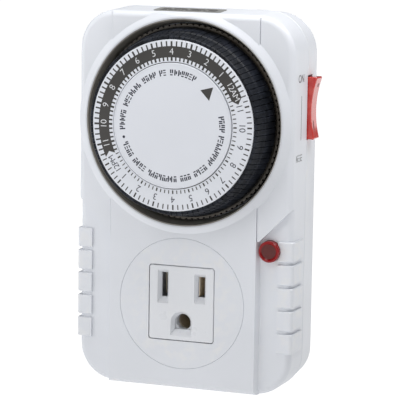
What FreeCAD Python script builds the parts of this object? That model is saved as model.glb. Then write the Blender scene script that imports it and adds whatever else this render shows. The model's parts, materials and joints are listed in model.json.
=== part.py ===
import FreeCAD, Part
import math
import os

# Plug-in mechanical 24-hour segment timer for a 120 V three-pin outlet.
# Millimetres. X to the right seen from the front, Y towards the wall, Z up.
# Y = 0 is the face that rests on the wall; X = 0, Z = 0 is the centre of the outlet face.

os.makedirs("parts", exist_ok=True)
V = FreeCAD.Vector

# casing
half_width = 36.45
top_z = 93.2
bottom_z = -27.9
corner_radius = 12.0
front_y = -28.0
seam_y = -13.8
seam_rise = 1.1
seam_corner_radius = 14.0
wall = 2.2
edge_radius = 2.0
block_drop = 0.3
shoulder_drop = 2.0
column_half = 25.0
column_foot = 25.9
diagonal_top_z = 32.8
diagonal_low_z = 21.9
rear_draft = 1.0

# label on the top face
label_x = (-12.4, 10.5)
label_y = (-25.0, -17.6)

# dial
dial_z = 58.4
well_radius = 33.1
collar_height = 1.1
collar_outer = 36.2
well_floor_y = -19.0
well_floor_back = -17.5
dial_front_y = -38.0
scale_radius = 27.05
centre_radius = 19.83
post_radius = 6.0
segment_count = 96
segment_width_degrees = 3.3

# grip pads
pad_top_z = 22.2
pad_pitch = 7.4
pad_height = 6.3
pad_count = 5
pad_proud = 0.7
pad_edge_radius = 1.1
pad_inner_x = 32.0
pad_back_y = -16.8

# outlet and plug
outlet_width = 22.1
outlet_height = 24.1
blade_x = 6.35
blade_z = 5.65
ground_z = blade_z - 11.9
neutral_slot = (2.0, 7.9)
line_slot = (2.2, 6.6)
ground_radius = 2.7
ground_foot = 2.4
outlet_corner = 0.8
bevel_side = 0.94
bevel_top = 1.0
bevel_foot = 2.0
bevel_depth = 1.6
pocket_front_y = front_y + 2.2
ground_bore_y = (front_y + 2.6, front_y + 4.9)
ground_bore_radius = 2.6
witness_radius = 21.3
blade_length = 17.0
ground_pin_length = 20.0
ground_pin_radius = 2.39
ground_root_radius = 2.6
ground_root_end = 0.3

# lamp
lamp_x = 29.3
lamp_z = 19.0
lamp_radius = 3.42

# rocker
rocker_z = 63.75
rocker_half = 10.0
rocker_front_y = -13.5
rocker_back_y = -8.1
rocker_pivot_x = 33.2
rocker_rest_tilt = 2.0

# gear train: module, tooth counts and arbor places
module = 0.5
dial_teeth = 76
drive_teeth = 16
clutch_teeth = 48
small_teeth = 12
second_teeth = 40
first_teeth = 42
motor_teeth = 20
clutch_place = (23.0 * math.cos(math.radians(-50)), dial_z + 23.0 * math.sin(math.radians(-50)))


def step_from(place, distance, degrees):
    a = math.radians(degrees)
    return (place[0] + distance * math.cos(a), place[1] + distance * math.sin(a))


second_place = step_from(clutch_place, module * (clutch_teeth + small_teeth) / 2, 95)
first_place = step_from(second_place, module * (second_teeth + small_teeth) / 2, 110)
motor_place = step_from(first_place, module * (first_teeth + motor_teeth) / 2, 160)
plate_front_y = -13.5
plate_back_y = -12.0
bridge_front_y = -4.3
bridge_back_y = -3.1
pillars = [(-2.0, 47.0), (24.0, 80.0), (28.5, 30.0)]
plate_bosses = [(-24.0, 74.0), (24.0, 74.5), (-9.0, 31.5)]
motor_posts = [step_from(motor_place, 14.2, 150), step_from(motor_place, 14.2, 235)]
motor_radius = 11.8
casing_bosses = [(-29.0, 86.0), (29.0, 86.0), (-28.0, -20.5), (28.0, -20.5)]

# switch worked by the segments
follower_angle = 215.0
follower_radius = 28.4
follower_x = follower_radius * math.cos(math.radians(follower_angle))
follower_z = dial_z + follower_radius * math.sin(math.radians(follower_angle))
follower_pivot_z = 22.5
follower_pivot_y = -13.9


# ---------------------------------------------------------------- small helpers

def box(x0, x1, y0, y1, z0, z1):
    return Part.makeBox(x1 - x0, y1 - y0, z1 - z0, V(x0, y0, z0))


def rod(x, z, y0, y1, r):
    return Part.makeCylinder(r, y1 - y0, V(x, y0, z), V(0, 1, 0))


def tube(x, z, y0, y1, outer, inner):
    return rod(x, z, y0, y1, outer).cut(rod(x, z, y0 - 1, y1 + 1, inner))


def plate(points, y0, y1):
    pts = [V(x, y0, z) for x, z in points]
    face = Part.Face(Part.makePolygon(pts + [pts[0]]))
    return face.extrude(V(0, y1 - y0, 0))


def rounded_wire(x0, x1, z0, z1, r, y, upper_r=None):
    # the two upper corners may have a radius of their own
    u = r if upper_r is None else upper_r
    k = r * (1 - math.sqrt(0.5))
    m = u * (1 - math.sqrt(0.5))
    corners = [
        (V(x1 - r, y, z0), V(x1 - k, y, z0 + k), V(x1, y, z0 + r)),
        (V(x1, y, z1 - u), V(x1 - m, y, z1 - m), V(x1 - u, y, z1)),
        (V(x0 + u, y, z1), V(x0 + m, y, z1 - m), V(x0, y, z1 - u)),
        (V(x0, y, z0 + r), V(x0 + k, y, z0 + k), V(x0 + r, y, z0)),
    ]
    edges = []
    for i, (a, m, b) in enumerate(corners):
        edges.append(Part.Arc(a, m, b).toShape())
        edges.append(Part.LineSegment(b, corners[(i + 1) % 4][0]).toShape())
    return Part.Wire(edges)


def rounded(x0, x1, z0, z1, r, y0, y1):
    return Part.Face(rounded_wire(x0, x1, z0, z1, r, y0)).extrude(V(0, y1 - y0, 0))


def spun(profile, x=0.0, z=dial_z, degrees=360.0):
    # profile points are (radius, y), turned about a line parallel to Y
    pts = [V(x + r, y, z) for r, y in profile]
    face = Part.Face(Part.makePolygon(pts + [pts[0]]))
    return face.revolve(V(x, 0, z), V(0, -1, 0), degrees)


def turned(shape, degrees, x=0.0, z=dial_z):
    copy = shape.copy()
    copy.rotate(V(x, 0, z), V(0, -1, 0), degrees)
    return copy


def join(shapes):
    whole = shapes[0].multiFuse(shapes[1:]) if len(shapes) > 1 else shapes[0]
    return whole.removeSplitter()


def less(shape, tools):
    return shape.cut(tools)


def front_fillet(shape, y, r):
    edges = [e for e in shape.Edges
             if abs(e.BoundBox.YMin - y) < 1e-6 and abs(e.BoundBox.YMax - y) < 1e-6]
    return shape.makeFillet(r, edges)


def body_prism(y0, y1, inset=0.0):
    return rounded(-half_width + inset, half_width - inset, bottom_z + inset, top_z - inset,
                   corner_radius - inset, y0, y1)


def seam_wire(y, inset=0.0):
    return rounded_wire(-half_width + inset, half_width - inset, bottom_z + inset,
                        top_z + seam_rise - inset, corner_radius - inset, y, seam_corner_radius - inset)


def seam_prism(y0, y1, inset=0.0):
    return Part.Face(seam_wire(y0, inset)).extrude(V(0, y1 - y0, 0))


def drafted_body(y0, y1):
    # the top climbs and its corners widen from the front edge to the parting line
    front = rounded_wire(-half_width, half_width, bottom_z, top_z, corner_radius, front_y)
    whole = Part.makeLoft([front, seam_wire(seam_y)], True, True)
    if y0 <= front_y and y1 >= seam_y:
        return whole
    return whole.common(box(-60, 60, max(y0, front_y), y1, bottom_z - 20, top_z + 20))


def place_angle(a, b):
    return math.degrees(math.atan2(b[1] - a[1], b[0] - a[0]))


def gear(teeth, x, z, y0, y1, first_tooth, thin=0.80):
    pitch = module * teeth / 2
    base = pitch * math.cos(math.radians(20))
    tip = pitch + module * 0.9
    root = pitch - module * 1.15

    def involute(r):
        a = math.acos(min(1.0, base / r))
        return math.tan(a) - a

    half = math.pi / (2 * teeth) * thin

    def half_at(r):
        return half + involute(pitch) - involute(max(r, base))

    levels = [root, pitch - module * 0.4, pitch, pitch + module * 0.45, tip]
    pts = []
    for i in range(teeth):
        centre = math.radians(first_tooth) + 2 * math.pi * i / teeth
        for r in levels:
            pts.append((r, centre - half_at(r)))
        for r in reversed(levels):
            pts.append((r, centre + half_at(r)))
    return plate([(x + r * math.cos(a), z + r * math.sin(a)) for r, a in pts], y0, y1)


def save(name, shape):
    shape.exportStep("parts/" + name + ".step")


# ---------------------------------------------------------------- casing

def grip_pads():
    pads = []
    for side in (-1, 1):
        for i in range(pad_count):
            z1 = pad_top_z - pad_pitch * i
            outer = half_width + pad_proud
            pad = box(pad_inner_x, outer, front_y + shoulder_drop - pad_proud, pad_back_y,
                      z1 - pad_height, z1)
            corner = [e for e in pad.Edges
                      if abs(e.BoundBox.XMin - outer) < 1e-6
                      and abs(e.BoundBox.YMax - (front_y + shoulder_drop - pad_proud)) < 1e-6]
            pad = pad.makeFillet(pad_edge_radius, corner)
            rim = [e for e in pad.Edges if e.BoundBox.ZLength < 1e-6
                   and (e.BoundBox.YMax < pad_back_y - 0.1 or e.BoundBox.XMin > outer - 0.1)]
            pad = pad.makeChamfer(0.25, rim)
            if side < 0:
                pad = pad.mirror(V(0, 0, 0), V(1, 0, 0))
            pads.append(pad)
    return pads


def front_casing():
    shoulder_y = front_y + shoulder_drop
    block_y = front_y + block_drop
    base = front_fillet(drafted_body(shoulder_y, seam_y), shoulder_y, edge_radius)
    block = front_fillet(drafted_body(block_y, seam_y - 2), block_y, edge_radius)
    w = half_width + 5
    side_of_block = [(-w, diagonal_top_z + 5), (-w, top_z + 5), (w, top_z + 5), (w, diagonal_top_z + 5),
                     (column_foot, diagonal_low_z), (-column_foot, diagonal_low_z)]
    block = block.common(plate(side_of_block, front_y - 1, seam_y))
    column = front_fillet(drafted_body(front_y, seam_y - 2), front_y, edge_radius)
    trapezoid = [V(-column_half, front_y, 0), V(column_half, front_y, 0),
                 V(column_foot, shoulder_y, 0), V(column_foot, seam_y - 2, 0),
                 V(-column_foot, seam_y - 2, 0), V(-column_foot, shoulder_y, 0)]
    runner = Part.Face(Part.makePolygon(trapezoid + [trapezoid[0]]))
    runner.translate(V(0, 0, bottom_z - 5))
    column = column.common(runner.extrude(V(0, 0, top_z - bottom_z + 10)))
    collar = spun([(well_radius, front_y - collar_height), (well_radius + 0.5, front_y - collar_height),
                   (well_radius + 1.1, front_y - collar_height + 0.25), (collar_outer, block_y + 0.05),
                   (collar_outer, seam_y - 3), (well_radius, seam_y - 3)])
    collar = collar.common(front_fillet(body_prism(front_y - collar_height - 1, seam_y, 0.25),
                                        front_y - collar_height - 1, 3.0))
    for side in (-1, 1):
        inner, outer = sorted((side * column_half, side * (column_half + 0.2)))
        groove = box(inner, outer, front_y - 1, block_y + 0.3, diagonal_low_z, top_z + 1)
        groove = groove.cut(rod(0, dial_z, front_y - 2, front_y + 2, collar_outer))
        block = block.cut(groove)
        column = column.cut(groove)
    stepped = base.multiFuse([block, column], 0.001).removeSplitter()
    outer = join([stepped, collar] + grip_pads())

    cavity = body_prism(shoulder_y + wall, seam_y + 1, wall)
    deeper = box(-column_half + 1.5, column_half - 1.5, front_y + 2.4, seam_y, bottom_z + 4.5, top_z - 4.5)
    cup = rod(0, dial_z, front_y - 5, well_floor_back, well_radius + 1.5)
    hollow = cavity.fuse(deeper).cut(cup)
    shell = outer.cut(hollow)
    well = rod(0, dial_z, front_y - 5, well_floor_y, well_radius)
    hub_way = rod(0, dial_z, well_floor_y - 1, seam_y, 20.2)
    window = box(follower_x - 2.3, follower_x + 2.3, well_floor_y - 1, seam_y,
                 follower_z - 2.4, follower_z + 2.9)
    outlet = rounded(-outlet_width / 2 - 0.25, outlet_width / 2 + 0.25, -outlet_height / 2 - 0.25,
                     outlet_height / 2 + 0.25, outlet_corner + 0.2, front_y - 1, front_y + 6)
    lamp = rod(lamp_x, lamp_z, front_y - 1, seam_y, lamp_radius + 0.1)
    line = spun([(witness_radius - 0.14, front_y - 0.1), (witness_radius + 0.14, front_y - 0.1),
                 (witness_radius, front_y + 0.22)], 0, 0)
    shell = less(shell, [well, hub_way, window, outlet, lamp, line])
    # parting groove along the rear rim
    rim = seam_prism(seam_y - 0.25, seam_y + 1, -1).cut(seam_prism(seam_y - 1, seam_y + 2, 0.25))
    shell = shell.cut(rim)
    posts = [rod(x, z, shoulder_y + 1, seam_y, 3.2) for x, z in casing_bosses]
    posts += [rod(x, z, well_floor_back - 0.5, plate_front_y, 2.6) for x, z in plate_bosses]
    shell = join([shell] + posts)
    holes = [rod(x, z, seam_y - 9, seam_y + 1, 1.3) for x, z in casing_bosses]
    holes += [rod(x, z, well_floor_back + 0.2, plate_front_y + 1, 0.9) for x, z in plate_bosses]
    return shell.cut(holes)


def rear_casing():
    sections = [(seam_y, 0.25), (seam_y + 0.25, 0.0), (-2.2, rear_draft), (-0.9, rear_draft + 0.35),
                (-0.25, rear_draft + 0.95), (0.0, rear_draft + 1.8)]
    wires = [seam_wire(y, inset) for y, inset in sections]
    shell = Part.makeLoft(wires, True, True)
    shell = shell.cut(body_prism(seam_y - 1, -wall, 3.05))
    tubes = [rod(x, z, seam_y, -1.0, 3.2) for x, z in casing_bosses]
    ribs = [box(-30.0, -16.0, -3.6, -1.5, 24.0, 33.0), box(29.0, 32.0, -6.9, -1.5, 56.0, 71.0)]
    shell = join([shell] + tubes + ribs)
    # the cover's own edge line keeps the bosses inside the parting line
    shell = shell.common(Part.makeLoft(wires, True, True))
    cuts = [rod(x, z, seam_y - 1, 1, 1.7) for x, z in casing_bosses]
    cuts += [rod(x, z, -3.4, 1, 3.0) for x, z in casing_bosses]
    cuts.append(box(25.0, half_width + 2, seam_y - 1, rocker_back_y + 0.25,
                    rocker_z - rocker_half - 0.32, rocker_z + rocker_half + 0.32))
    cuts.append(box(33.0, 34.3, -8.0, -6.8, rocker_z - 1.7, rocker_z + 1.7))
    cuts.append(box(blade_x - 0.8, blade_x + 0.8, -wall - 1, 1, blade_z - 3.3, blade_z + 3.3))
    cuts.append(box(-blade_x - 0.8, -blade_x + 0.8, -wall - 1, 1, blade_z - 4.05, blade_z + 4.05))
    cuts.append(rod(0, ground_z, -wall - 1, 1, ground_root_radius + 0.05))
    cuts.append(rounded(-22.1, 22.1, 34.9, 66.1, 1.6, -0.25, 1))
    return shell.cut(cuts)


def casing_screws():
    screws = []
    for x, z in casing_bosses:
        shank = rod(x, z, seam_y - 8, -4.3, 1.25)
        head = spun([(0, -4.9), (2.6, -4.9), (2.75, -4.2), (2.5, -3.5), (0, -3.2)], x, z)
        head.translate(V(0, 1.5, 0))
        neck = rod(x, z, -4.4, -3.3, 1.25)
        slot_a = box(x - 1.7, x + 1.7, -2.4, -1.5, z - 0.3, z + 0.3)
        slot_b = box(x - 0.3, x + 0.3, -2.4, -1.5, z - 1.7, z + 1.7)
        screws.append(less(join([shank, neck, head]), [slot_a, slot_b]))
    return Part.makeCompound(screws)


def top_label():
    strip = box(label_x[0], label_x[1], label_y[0], label_y[1], top_z + 0.01, top_z + 0.16)
    upright = [e for e in strip.Edges if e.BoundBox.ZLength > 0.1]
    strip = strip.makeFillet(1.2, upright)
    slope = math.degrees(math.atan(seam_rise / (seam_y - front_y)))
    strip.rotate(V(0, front_y, top_z), V(1, 0, 0), slope)
    return strip


def rating_label():
    return rounded(-22.0, 22.0, 35.0, 66.0, 1.5, -0.24, -0.06)


# ---------------------------------------------------------------- dial

def dial_surround():
    return spun([(well_radius - 0.05, front_y - collar_height + 0.2),
                 (well_radius - 0.35, front_y - collar_height + 0.2),
                 (well_radius - 0.7, front_y + 0.2), (well_radius - 1.15, front_y + 2.4),
                 (well_radius - 1.35, front_y + 5.0), (well_radius - 1.4, well_floor_y - 0.02),
                 (well_radius - 0.05, well_floor_y - 0.02)])


def wedge(profile, degrees):
    return turned(spun(profile, 0, dial_z, degrees), -degrees / 2)


def dial_drum():
    flange = spun([(26.5, -23.6), (31.2, -23.6), (31.2, -22.4), (26.5, -22.4)])
    hole = wedge([(27.4, -24), (29.4, -24), (29.4, -22), (27.4, -22)], 3.0)
    pitch = 360.0 / segment_count
    flange = flange.cut([turned(hole, pitch * (i + 0.5)) for i in range(segment_count)])
    pts = []
    for i in range(segment_count):
        for part, r in ((0.0, 30.85), (0.28, 30.85), (0.36, 31.3), (0.92, 31.3)):
            a = math.radians(pitch * (i + part))
            pts.append((r * math.cos(a), dial_z + r * math.sin(a)))
    comb = plate(pts, -25.4, -23.6).cut(rod(0, dial_z, -26, -23, 30.5))
    shell = spun([(20.4, dial_front_y + 1), (27.0, dial_front_y + 1), (27.0, -22.4), (25.2, -22.4),
                  (25.2, -29.0), (9.5, -29.0), (9.5, -14.5), (post_radius + 0.15, -14.5),
                  (post_radius + 0.15, -33.8), (8.6, -33.8), (8.6, -30.5), (25.2, -30.5),
                  (25.2, dial_front_y + 2.4), (20.4, dial_front_y + 2.4)])
    toward = place_angle((0, dial_z), clutch_place)
    wheel = gear(dial_teeth, 0, dial_z, -17.0, -14.5, toward)
    wheel = wheel.cut(rod(0, dial_z, -18, -14, 9.0))
    return join([shell, flange, comb, wheel])


def dial_scale_ring():
    return spun([(20.1, dial_front_y), (scale_radius - 0.15, dial_front_y),
                 (scale_radius, dial_front_y + 0.15), (scale_radius, dial_front_y + 1),
                 (20.1, dial_front_y + 1)])


def one_segment():
    def at(r, h):
        return (r, front_y - h)
    body = wedge([at(27.15, 9.7), at(27.95, 9.7), at(28.2, 9.4), at(28.9, 5.2), at(29.3, 4.75),
                  at(30.2, -1.6), at(29.9, -2.0), at(27.15, -2.0)], segment_width_degrees)
    tail = wedge([at(27.6, -1.9), at(29.2, -1.9), at(29.2, -5.5), at(27.6, -5.5)], 2.5)
    return body.fuse(tail).removeSplitter()


def segments():
    pitch = 360.0 / segment_count
    one = one_segment()
    # four of them, one hour's worth beside the top of the dial, are kept apart
    apart = [22, 23, 24, 25]
    rest = []
    single = []
    for i in range(segment_count):
        piece = turned(one, pitch * (i + 0.5))
        if i in apart:
            single.append(piece)
        else:
            rest.append(piece)
    return Part.makeCompound(rest), single


def centre_disc():
    return spun([(0, dial_front_y - 0.34), (centre_radius - 0.4, dial_front_y - 0.34),
                 (centre_radius - 0.45, dial_front_y - 0.4), (centre_radius - 0.2, dial_front_y - 0.4),
                 (centre_radius, dial_front_y - 0.2), (centre_radius, dial_front_y + 0.6),
                 (3.0, dial_front_y + 0.6), (3.0, dial_front_y + 6.0), (0, dial_front_y + 6.0)])


def dial_post():
    post = spun([(3.03, dial_front_y + 0.65), (post_radius, dial_front_y + 0.65), (post_radius, -14.3),
                 (9.0, -14.3), (9.0, plate_front_y), (2.95, plate_front_y), (2.95, plate_back_y),
                 (0, plate_back_y), (0, dial_front_y + 6.5), (3.03, dial_front_y + 6.5)])
    return post


def dial_retainer():
    ring = spun([(post_radius + 0.02, -34.7), (8.8, -34.7), (8.8, -34.0), (post_radius + 0.02, -34.0)])
    return ring.cut(box(-1.0, 1.0, -36, -33, dial_z, dial_z + 12))


# ---------------------------------------------------------------- movement

def movement_plate():
    outline = [(-30.0, 47.5), (-17.0, 47.5), (-17.0, 28.0), (0.0, 26.0), (31.0, 26.0), (31.0, 49.5),
               (26.0, 50.5), (26.0, 80.0), (22.0, 84.5), (-24.0, 84.5), (-30.0, 78.0)]
    base = plate(outline, plate_front_y, plate_back_y)
    posts = [rod(x, z, plate_back_y, bridge_front_y, 1.7) for x, z in pillars]
    posts += [rod(x, z, plate_back_y, -9.5, 2.0) for x, z in motor_posts]
    base = join([base] + posts)
    cuts = [rod(x, z, plate_front_y - 1, plate_back_y + 1, 1.1) for x, z in plate_bosses]
    cuts.append(rod(0, dial_z, plate_front_y - 1, plate_back_y + 1, 3.0))
    cuts.append(rod(clutch_place[0], clutch_place[1], plate_front_y - 1, plate_back_y + 1, 1.1))
    for x, z in (second_place, first_place):
        cuts.append(rod(x, z, plate_front_y + 0.4, plate_back_y + 1, 0.78))
    for x, z in pillars:
        cuts.append(rod(x, z, bridge_front_y - 3, bridge_front_y + 1, 0.7))
    return less(base, cuts)


def movement_screws():
    screws = []
    for x, z in plate_bosses:
        shank = rod(x, z, well_floor_back + 0.6, plate_back_y, 0.85)
        head = rod(x, z, plate_back_y, plate_back_y + 1.0, 1.8)
        slot = box(x - 1.9, x + 1.9, plate_back_y + 0.6, plate_back_y + 1.2, z - 0.25, z + 0.25)
        screws.append(shank.fuse(head).cut(slot))
    for x, z in pillars:
        shank = rod(x, z, bridge_front_y - 2.5, bridge_back_y, 0.65)
        head = rod(x, z, bridge_back_y, bridge_back_y + 0.7, 1.5)
        slot = box(x - 1.6, x + 1.6, bridge_back_y + 0.4, bridge_back_y + 0.9, z - 0.2, z + 0.2)
        screws.append(shank.fuse(head).cut(slot))
    return Part.makeCompound(screws)


def gear_bridge():
    outline = [(-5.0, 44.5), (26.0, 27.0), (31.5, 27.0), (31.5, 33.5), (20.5, 52.0), (20.5, 66.0),
               (27.0, 78.0), (27.0, 83.0), (21.0, 83.0), (8.0, 72.5), (-5.0, 49.0)]
    base = plate(outline, bridge_front_y, bridge_back_y)
    cuts = [rod(x, z, bridge_front_y - 1, bridge_back_y + 1, 0.72) for x, z in pillars]
    for x, z in (second_place, first_place):
        cuts.append(rod(x, z, bridge_front_y - 1, bridge_back_y + 1, 0.78))
    cuts.append(rod(clutch_place[0], clutch_place[1], bridge_front_y - 1, bridge_back_y + 1, 1.1))
    return less(base, cuts)


def gear_arbors():
    return Part.makeCompound([rod(x, z, plate_front_y + 0.5, bridge_back_y + 0.2, 0.75)
                              for x, z in (second_place, first_place)])


def drive_pinion():
    x, z = clutch_place
    away = place_angle(clutch_place, (0, dial_z)) + 180.0 / drive_teeth
    teeth = gear(drive_teeth, x, z, -16.9, -14.6, away)
    arbor = rod(x, z, -17.2, -2.9, 1.0)
    collar = rod(x, z, -10.2, -9.6, 2.2)
    rear_collar = rod(x, z, -6.2, -5.5, 2.2)
    return join([teeth, arbor, collar, rear_collar])


def clutch_spring():
    x, z = clutch_place
    return spun([(1.02, -9.58), (2.0, -9.58), (3.9, -8.15), (3.9, -7.87), (3.5, -7.87), (1.9, -9.2),
                 (1.02, -9.2)], x, z)


def clutch_wheel():
    x, z = clutch_place
    away = place_angle(clutch_place, second_place)
    wheel = gear(clutch_teeth, x, z, -7.8, -6.3, away)
    ways = [rod(x + 7.4 * math.cos(math.radians(a)), z + 7.4 * math.sin(math.radians(a)), -9, -5, 2.1)
            for a in (20, 92, 164, 236, 308)]
    return less(wheel, [rod(x, z, -9, -5, 1.06)] + ways)


def second_gear():
    x, z = second_place
    towards = place_angle(second_place, clutch_place) + 180.0 / small_teeth
    pinion = gear(small_teeth, x, z, -8.2, -6.2, towards)
    wheel = gear(second_teeth, x, z, -9.6, -8.1, place_angle(second_place, first_place))
    hub = rod(x, z, -11.8, -4.5, 1.35)
    ways = [rod(x + 6.3 * math.cos(math.radians(a)), z + 6.3 * math.sin(math.radians(a)), -10, -8.0, 1.7)
            for a in (10, 100, 190, 280)]
    return less(join([pinion, wheel, hub]), [rod(x, z, -12, -4, 0.82)] + ways)


def first_gear():
    x, z = first_place
    towards = place_angle(first_place, second_place) + 180.0 / small_teeth
    pinion = gear(small_teeth, x, z, -10.0, -8.0, towards)
    wheel = gear(first_teeth, x, z, -11.4, -9.9, place_angle(first_place, motor_place))
    hub = rod(x, z, -11.8, -4.5, 1.5)
    ways = [rod(x + 6.8 * math.cos(math.radians(a)), z + 6.8 * math.sin(math.radians(a)), -12, -9.85, 1.9)
            for a in (0, 72, 144, 216, 288)]
    return less(join([pinion, wheel, hub]), [rod(x, z, -12, -4, 0.82)] + ways)


def motor_rotor():
    x, z = motor_place
    pinion = gear(motor_teeth, x, z, -11.4, -9.9, place_angle(motor_place, first_place) + 180.0 / motor_teeth)
    shaft = rod(x, z, -11.7, -3.2, 0.9)
    magnet = rod(x, z, -8.4, -3.9, 5.4)
    return join([pinion, shaft, magnet])


def motor_housing():
    x, z = motor_place
    can = rod(x, z, -9.5, -2.5, motor_radius)
    ears = [plate_bar(motor_place, place, 3.0, -9.5, -8.7) for place in motor_posts]
    ears += [rod(p[0], p[1], -9.5, -8.7, 2.6) for p in motor_posts]
    can = join([can] + ears)
    inner = rod(x, z, -8.8, -3.1, motor_radius - 0.6)
    shaft = rod(x, z, -10, -8, 1.3)
    holes = [rod(p[0], p[1], -10, -8, 1.1) for p in motor_posts]
    return less(can, [inner, shaft] + holes)


def plate_bar(a, b, half, y0, y1):
    length = math.hypot(b[0] - a[0], b[1] - a[1])
    ux = (b[0] - a[0]) / length
    uz = (b[1] - a[1]) / length
    pts = [(a[0] - uz * half, a[1] + ux * half), (a[0] + uz * half, a[1] - ux * half),
           (b[0] + uz * half * 0.8, b[1] - ux * half * 0.8), (b[0] - uz * half * 0.8, b[1] + ux * half * 0.8)]
    return plate(pts, y0, y1)


def motor_bobbin():
    x, z = motor_place
    return spun([(5.9, -8.7), (11.0, -8.7), (11.0, -8.2), (6.4, -8.2), (6.4, -3.7), (11.0, -3.7),
                 (11.0, -3.2), (5.9, -3.2)], x, z)


def motor_coil():
    x, z = motor_place
    return spun([(6.42, -8.18), (10.6, -8.18), (10.6, -3.72), (6.42, -3.72)], x, z)


# ---------------------------------------------------------------- dial switch

def switch_body():
    x0, x1, z0, z1 = -31.0, -15.0, 20.5, 36.5
    case = box(x0, x1, -11.6, -3.6, z0, z1)
    room = box(x0 + 1.0, x1 - 1.0, -10.6, -4.6, z0 + 1.0, z1 - 1.0)
    lugs = [box(follower_x - 4.7, follower_x - 2.7, -15.5, -11.5, 20.7, 24.3),
            box(follower_x + 2.7, follower_x + 4.7, -15.5, -11.5, 20.7, 24.3)]
    way = box(follower_x - 1.1, follower_x + 1.1, -12, -10, 30.6, 31.8)
    pin = Part.makeCylinder(0.62, 14, V(follower_x - 7, follower_pivot_y, follower_pivot_z), V(1, 0, 0))
    tabs = [box(-28.2, -25.8, -9.2, -8.6, z0 - 1, z0 + 2), box(-20.2, -17.8, -6.5, -5.9, z0 - 1, z0 + 2)]
    return less(join([case] + lugs), [room, way, pin] + tabs)


def switch_follower():
    arm = box(follower_x - 1.6, follower_x + 1.6, -14.4, -13.4, follower_pivot_z, follower_z + 1.2)
    barrel = Part.makeCylinder(1.35, 5.0, V(follower_x - 2.5, follower_pivot_y, follower_pivot_z), V(1, 0, 0))
    nose = box(follower_x - 1.1, follower_x + 1.1, -21.4, -14.3, follower_z - 1.2, follower_z + 1.2)
    tip = Part.makeCylinder(1.2, 2.2, V(follower_x - 1.1, -21.0, follower_z), V(1, 0, 0))
    body = join([arm, barrel, nose, tip])
    pin = Part.makeCylinder(0.66, 14, V(follower_x - 7, follower_pivot_y, follower_pivot_z), V(1, 0, 0))
    return body.cut(pin)


def follower_pin():
    return Part.makeCylinder(0.6, 9.4, V(follower_x - 4.7, follower_pivot_y, follower_pivot_z), V(1, 0, 0))


def switch_plunger():
    stem = box(follower_x - 1.0, follower_x + 1.0, -13.0, -9.4, 30.75, 31.65)
    tip = Part.makeCylinder(0.35, 2.0, V(follower_x - 1.0, -13.0, 31.2), V(1, 0, 0))
    foot = box(follower_x - 1.6, follower_x + 1.6, -10.5, -9.6, 30.2, 32.2)
    return join([stem, tip, foot])


def switch_leaf():
    strip = box(-28.0, -22.4, -8.4, -8.0, 22.6, 34.0)
    tab = box(-28.0, -26.0, -9.1, -8.7, 16.6, 22.8)
    link = box(-28.0, -26.0, -9.1, -8.0, 22.6, 23.0)
    point = rod(-24.6, 33.0, -8.05, -7.3, 1.0)
    return join([strip, tab, link, point])


def switch_fixed_contact():
    strip = box(-26.2, -18.0, -6.1, -5.7, 29.0, 34.4)
    drop = box(-20.0, -18.0, -6.4, -6.0, 16.6, 29.6)
    point = rod(-24.6, 33.0, -6.9, -6.05, 1.0)
    return join([strip, drop, point])


# ---------------------------------------------------------------- rocker switch

def rocker():
    c = half_width + 2.75
    mid = half_width + 1.2
    top = V(c, rocker_front_y, rocker_z + rocker_half)
    middle = V(mid, rocker_front_y, rocker_z)
    low = V(c, rocker_front_y, rocker_z - rocker_half)
    arc = Part.Arc(top, middle, low).toShape()
    inner = [low, V(34.4, rocker_front_y, rocker_z - rocker_half + 0.2),
             V(32.2, rocker_front_y, rocker_z - 5.5), V(31.2, rocker_front_y, rocker_z - 2.2),
             V(31.2, rocker_front_y, rocker_z + 2.2), V(32.2, rocker_front_y, rocker_z + 5.5),
             V(34.4, rocker_front_y, rocker_z + rocker_half - 0.2), top]
    lines = [Part.LineSegment(inner[i], inner[i + 1]).toShape() for i in range(len(inner) - 1)]
    body = Part.Face(Part.Wire([arc] + lines)).extrude(V(0, rocker_back_y - rocker_front_y, 0))
    tips = [e for e in body.Edges if e.BoundBox.YLength > 5 and e.BoundBox.XMin > half_width + 2]
    body = body.makeFillet(0.45, tips)
    rims = [e for e in body.Edges if e.BoundBox.YLength < 0.01 and e.BoundBox.ZLength > 15]
    body = body.makeChamfer(0.2, rims)
    body = body.cut(rod(rocker_pivot_x, rocker_z, rocker_front_y - 1, rocker_back_y + 1, 0.95))
    body.rotate(V(rocker_pivot_x, 0, rocker_z), V(0, 1, 0), rocker_rest_tilt)
    return body


def rocker_frame():
    outer = box(26.6, 33.2, -14.7, -6.9, 51.7, 75.8)
    room = box(27.8, 34.0, rocker_front_y - 0.2, rocker_back_y + 0.2, 52.8, 74.7)
    lugs = [box(32.0, 34.2, -14.7, rocker_front_y - 0.2, rocker_z - 1.6, rocker_z + 1.6)]
    hole = rod(rocker_pivot_x, rocker_z, -16, -6, 0.9)
    ways = [box(26, 28, -11.4, -10.2, 57.0, 57.6), box(26, 28, -11.4, -10.2, 69.6, 70.2)]
    body = join([outer] + lugs)
    rear = box(32.0, 34.2, rocker_back_y + 0.2, -6.9, rocker_z - 1.6, rocker_z + 1.6)
    return less(join([body, rear]), [room, hole] + ways)


def rocker_pivot():
    return rod(rocker_pivot_x, rocker_z, -14.6, -7.0, 0.86)


def rocker_leaf():
    strip = box(29.6, 29.9, -12.2, -9.4, 57.0, 68.0)
    foot = box(25.4, 29.9, -11.3, -10.3, 57.0, 57.4)
    point = Part.makeCylinder(0.9, 0.7, V(28.95, -10.8, 67.0), V(1, 0, 0))
    return join([strip, foot, point])


def rocker_fixed_contact():
    strip = box(27.85, 28.15, -12.2, -9.4, 65.5, 70.1)
    foot = box(25.4, 28.1, -11.3, -10.3, 69.7, 70.1)
    point = Part.makeCylinder(0.9, 0.5, V(28.1, -10.8, 67.0), V(1, 0, 0))
    return join([strip, foot, point])


# ---------------------------------------------------------------- outlet

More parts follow.
